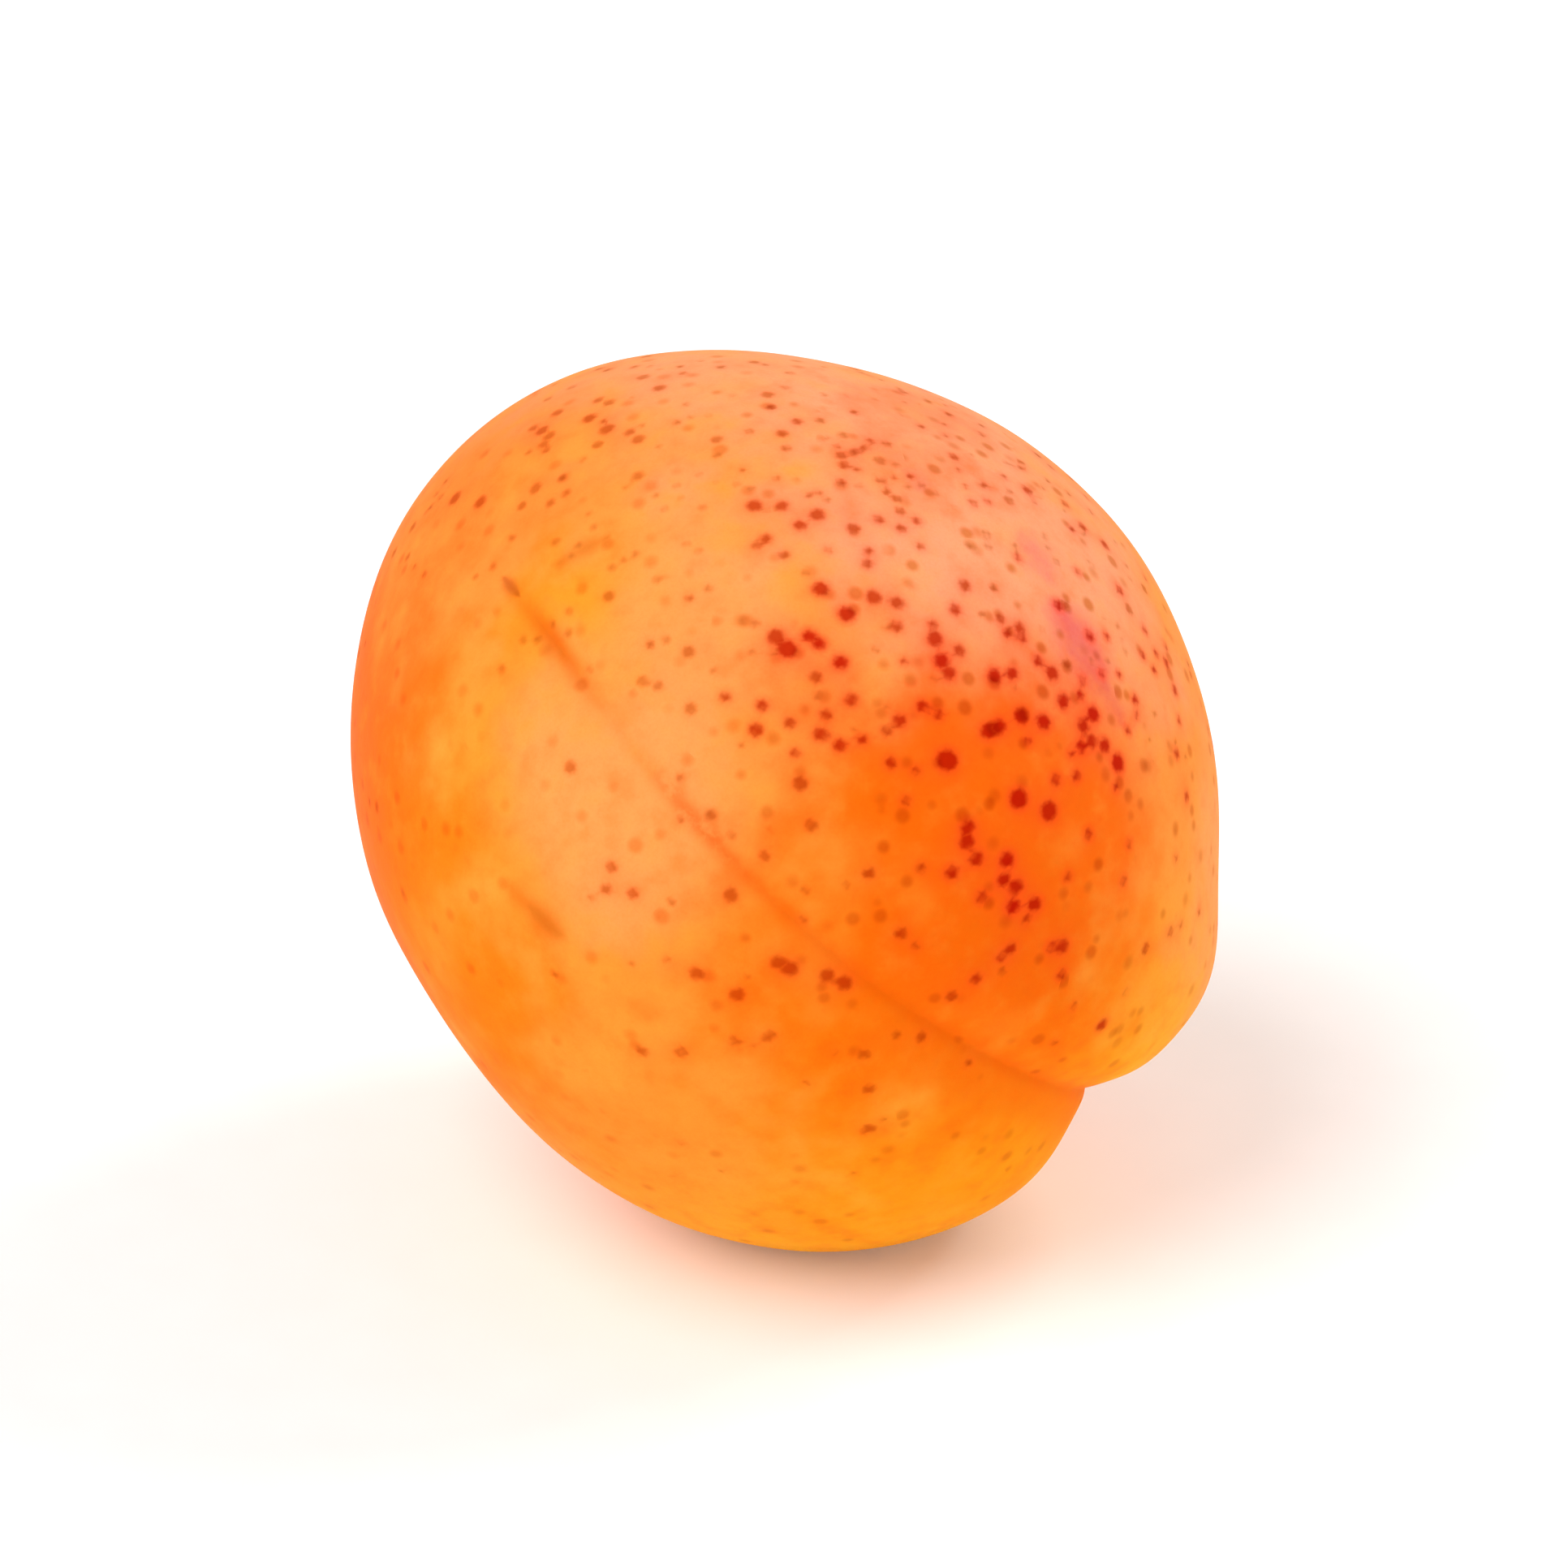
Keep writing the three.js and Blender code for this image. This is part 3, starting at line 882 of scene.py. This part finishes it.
patchy_rose = coat.stored("rose") + centred(flecks, ROSE_FLECKS) + centred(mottle, ROSE_MOTTLE)
colour = coat.stain(coat.ramp(patchy_rose, *ROSE_EDGE), colour, ROSE_INK)
colour = coat.blend(coat.stored("flush") * FLUSH_SHOWS, colour, FLUSH_RED)
colour = coat.blend(coat.stored("scuff") * SCUFF_SHOWS, colour, SCUFF_ORANGE)
colour = coat.blend(skirt * SKIRT_SHOWS, colour, FLUSH_RED)
colour = coat.stain(speck_strength, colour, ink)

# %% [markdown]
# ## Dust of faint specks
#
# The faintest freckles are too many to place. A Voronoi texture scatters points through
# space, one in each cell, and the distance to the nearest point makes a soft speck. Each
# cell's random colour says how large its speck is and whether it shows, which happens more
# often where there was more sun.

# %% Skin: dust of specks
DUST_SPACING, DUST_EDGE, DUST_SIZE_SPREAD = 1.3, (0.42, 0.05), 0.16
LOTS_THAT_SHOW, SUN_HELPS = (0.14, 0.1), 0.5
DUST_SHOWS, DUST_SHOWS_MORE_IN_SUN = 0.6, 0.4


def scattered(spacing):
    """Distance to the nearest of many scattered points, as a share of their spacing."""
    cells = {"Vector": place, "Scale": 1 / spacing, "Randomness": 1.0}
    return coat.node("TexVoronoi", {}, cells, "Distance")


dust_cell = scattered(DUST_SPACING)
dust_lot = coat.node("SeparateColor", {}, {0: dust_cell.twin("Color")}, "Red")
dust_size = dust_lot.twin("Green") * DUST_SIZE_SPREAD
sunlit = coat.stored("sun")
shows = coat.ramp(dust_lot - sunlit * SUN_HELPS, *LOTS_THAT_SHOW)
dust = shows * coat.ramp(dust_cell * DUST_SPACING - dust_size, *DUST_EDGE)
dust_strength = dust * (DUST_SHOWS + sunlit * DUST_SHOWS_MORE_IN_SUN)
colour = coat.stain(dust_strength, colour, PORE_INK)

# %% [markdown]
# ## Lenticels
#
# Skin breathes through pores. On an apricot they are soft, pale brown spots over half a
# millimetre wide, spread evenly, and a cell texture is the right tool for anything even.

# %% Skin: lenticels
PORE_SPACING, PORE_EDGE, PORE_SHOWS = 2.5, (0.56, 0.1), 0.6
pore = coat.ramp(scattered(PORE_SPACING) * PORE_SPACING, *PORE_EDGE)
colour = coat.stain(pore * PORE_SHOWS, colour, PORE_INK)

# %% [markdown]
# ## The two ends
#
# The style left a short red-brown mark at the apex. At the stem the funnel turns deep orange, the
# ring round the pit is corky tan, the pit is a dark red-brown that is partly its own colour and
# partly painted shade of the hollow, and the stump of the stalk stands pale in the middle of it.

# %% Skin: apex mark and stem scar
STYLE_INK = (0.64, 0.5, 0.46, 1.0)
FUNNEL_ORANGE = paint("f98414")
CORK = paint("c47c36")
OLD_CORK = paint("95501c")
# dark red-brown of the pit: partly its own colour, partly painted shade of the hollow
PIT_BROWN_AND_SHADE = paint("6e2009")
STUMP_TAN = paint("a8662e")
# where each begins and is whole, in millimetres from the stem's axis
FUNNEL_EDGE, CORK_EDGE = (9.0, 3.5), (2.75, 2.35)
PIT_EDGE, STUMP_EDGE = (1.8, 1.5), (1.05, 0.8)
FUNNEL_SHOWS, FIBRE_SIZE, TORN_BY, CORK_SHADES = 0.5, 0.45, 0.8, (0.35, 0.65)
MARK_EDGE, MARK_ROUGHNESS = (0.1, 1.2), 0.3
rough_mark = coat.stored("style_mark") + centred(flecks, MARK_ROUGHNESS)
colour = coat.stain(coat.ramp(rough_mark, *MARK_EDGE), colour, STYLE_INK)

fibres = coat.noise(place, FIBRE_SIZE, 3.0)
from_axis = coat.stored("from_axis")
torn = from_axis + centred(fibres, TORN_BY)
cork = coat.blend(coat.ramp(fibres, *CORK_SHADES), OLD_CORK, CORK)
colour = coat.blend(coat.ramp(from_axis, *FUNNEL_EDGE) * FUNNEL_SHOWS, colour, FUNNEL_ORANGE)
colour = coat.blend(coat.ramp(torn, *CORK_EDGE), colour, cork)
# the pit, its brown darkened by painted shade of the hollow
colour = coat.blend(coat.ramp(torn, *PIT_EDGE), colour, PIT_BROWN_AND_SHADE)
stump = coat.blend(fibres, PIT_BROWN_AND_SHADE, STUMP_TAN)
colour = coat.blend(coat.ramp(torn, *STUMP_EDGE), colour, stump)

# %% [markdown]
# ## Velvet
#
# Apricot skin carries down too short to see. It swallows nearly all gloss, so the specular
# level is close to 0, and it scatters a little light at grazing angles, which the sheen of
# the Principled shader does. A fine bump makes the nap and sinks the specks. The flesh below
# lets some light through, which is subsurface scattering with red going furthest.

# %% Skin: surface
WARM_TINT = paint("ffc890")
SHEEN_TINT = paint("ffc08c")
# how wide each is, and how far it rises or sinks in the bump, in millimetres
VELVET_SIZE, NAP_SIZE, PEEL_SIZE = 0.13, 0.3, 1.3
VELVET_RISE, NAP_RISE, PEEL_RISE, SPECK_SINK = 0.012, 0.018, 0.04, 0.02
VELVET_SHADE, VELVET_SHADE_SHOWS = (0.6, 0.3), 0.12
SKIN_ROUGHNESS, MOTTLE_ROUGHNESS, SPECK_ROUGHNESS, WOODY_ROUGHNESS = 0.52, 0.12, 0.08, 0.3
WOODY_EDGE = (3.2, 2.2)
velvet = coat.noise(place, VELVET_SIZE)
nap = coat.noise(place, NAP_SIZE)
orange_peel = coat.noise(place, PEEL_SIZE, 1.0)
height = velvet * VELVET_RISE + nap * NAP_RISE + orange_peel * PEEL_RISE - speck * SPECK_SINK
colour = coat.stain(coat.ramp(velvet, *VELVET_SHADE) * VELVET_SHADE_SHOWS, colour, WARM_TINT)
relief = {"Strength": 0.55, "Distance": MILLIMETRE, "Height": height}
bump = coat.node("Bump", {}, relief, "Normal")
woody = coat.ramp(from_axis, *WOODY_EDGE)
roughness = SKIN_ROUGHNESS + centred(mottle, MOTTLE_ROUGHNESS)
roughness = roughness + speck * SPECK_ROUGHNESS + woody * WOODY_ROUGHNESS
surface = coat.node(
    "BsdfPrincipled",
    {"subsurface_method": "BURLEY"},
    {
        "Base Color": colour,
        "Roughness": roughness,
        "Normal": bump,
        "IOR": 1.38,
        "Specular IOR Level": 0.01,
        "Specular Tint": WARM_TINT,
        "Subsurface Weight": 0.4,
        "Subsurface Radius": (1.0, 0.35, 0.1),
        "Subsurface Scale": 4 * MILLIMETRE,
        "Sheen Weight": 0.06,
        "Sheen Roughness": 0.4,
        "Sheen Tint": SHEEN_TINT,
    },
)
coat.show(surface)
skin_mesh.materials.append(coat.owner)
print("skin material:", len(coat.tree.nodes), "nodes")

# %% Ride on the frame
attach(skin, "root")
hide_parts("apricot")

# %% [markdown]
# ## The studio
#
# The fruit lies on a white table that runs out of view on all sides. A sun lamp as
# wide as a big window stands at the upper left and gives the soft shadow. A small soft light
# at the right and behind puts a faint sheen on the cheek. The white room does the rest: its
# walls are as bright as the table, so that the table's far edge melts into them.

# %% Table
TABLE_WHITE = paint("f7f6f5")
TABLE_BRIGHT = paint("fbfbfb")
TABLE_GLOW = 0.09
TABLE_HALF = 3.0
GRAIN_SIZE = 4 * MILLIMETRE
table = Shader(bpy.data.materials.new("white_table"))
grain = table.noise(table.node("TexCoord", output="Object"), GRAIN_SIZE)
table_colour = table.blend(grain, TABLE_WHITE, TABLE_BRIGHT)
table_look = {
    "Base Color": table_colour,
    "Roughness": 0.8,
    "Emission Color": table_colour,
    "Emission Strength": TABLE_GLOW,
}
table.show(table.node("BsdfPrincipled", {}, table_look))

sides = [(-1, -1), (1, -1), (1, 1), (-1, 1)]
corners = [(x * TABLE_HALF, y * TABLE_HALF, 0) for x, y in sides]
floor_mesh = bpy.data.meshes.new("table")
floor_mesh.from_pydata(corners, [], [(0, 1, 2, 3)])
floor_mesh.materials.append(table.owner)
floor = bpy.data.objects.new("table", floor_mesh)
bpy.context.scene.collection.objects.link(floor)

# %% Lights
fruit_middle = Vector((fruit_low + fruit_high) / 2)


def aim(name, data, offset):
    """Put a lamp or a camera this far from the fruit's middle, and turn it to the fruit."""
    aimed = bpy.data.objects.new(name, data)
    aimed.location = fruit_middle + offset
    aimed.rotation_euler = (-offset).to_track_quat("-Z", "Y").to_euler()
    bpy.context.scene.collection.objects.link(aimed)
    return aimed


WINDOW_STRENGTH, WINDOW_WIDTH = 2.1, 50 * DEGREE
WINDOW_PLACE = Vector((-0.6, -0.4, 0.85))
window = bpy.data.lights.new("window", "SUN")
window.energy = WINDOW_STRENGTH
window.angle = WINDOW_WIDTH
aim("window", window, WINDOW_PLACE)

SHEEN_POWER, SHEEN_SIZE, FAINTLY_WARM = 3.5, 0.45, (1.0, 0.98, 0.96)
SHEEN_PLACE = Vector((0.6, 0.35, 0.6))
sheen = bpy.data.lights.new("sheen", "AREA")
sheen.shape = "DISK"
sheen.size = SHEEN_SIZE
sheen.energy = SHEEN_POWER
sheen.color = FAINTLY_WARM
aim("sheen", sheen, SHEEN_PLACE)

WALL_LIGHT = (1.05, 1.05, 1.05, 1.0)
CEILING_LIGHT = (0.45, 0.45, 0.45, 1.0)
WALL_TO_CEILING = (0.1, 0.35)
room = Shader(bpy.data.worlds.new("white_room"))
looking = room.node("TexCoord", output="Generated")
upward = room.node("SeparateXYZ", {}, {0: looking}, "Z")
room_light = room.blend(room.ramp(upward, *WALL_TO_CEILING), WALL_LIGHT, CEILING_LIGHT)
room.show(room.node("Background", {}, {"Color": room_light}))
bpy.context.scene.world = room.owner
bpy.context.scene.view_settings.view_transform = "Standard"

# %% [markdown]
# ## The camera
#
# A long lens from nearly half a metre away keeps the fruit's true proportions, and looks
# down on it by 25 degrees, as one looks at fruit on a table.

# %% Camera
CAMERA_DISTANCE = 0.45
CAMERA_ELEVATION = 25 * DEGREE
CAMERA_LENS = 205
NEAREST_SEEN = 0.01
back_to_camera = Vector((0, -math.cos(CAMERA_ELEVATION), math.sin(CAMERA_ELEVATION)))
camera_data = bpy.data.cameras.new("camera")
camera_data.lens = CAMERA_LENS
camera_data.clip_start = NEAREST_SEEN
bpy.context.scene.camera = aim("camera", camera_data, back_to_camera * CAMERA_DISTANCE)
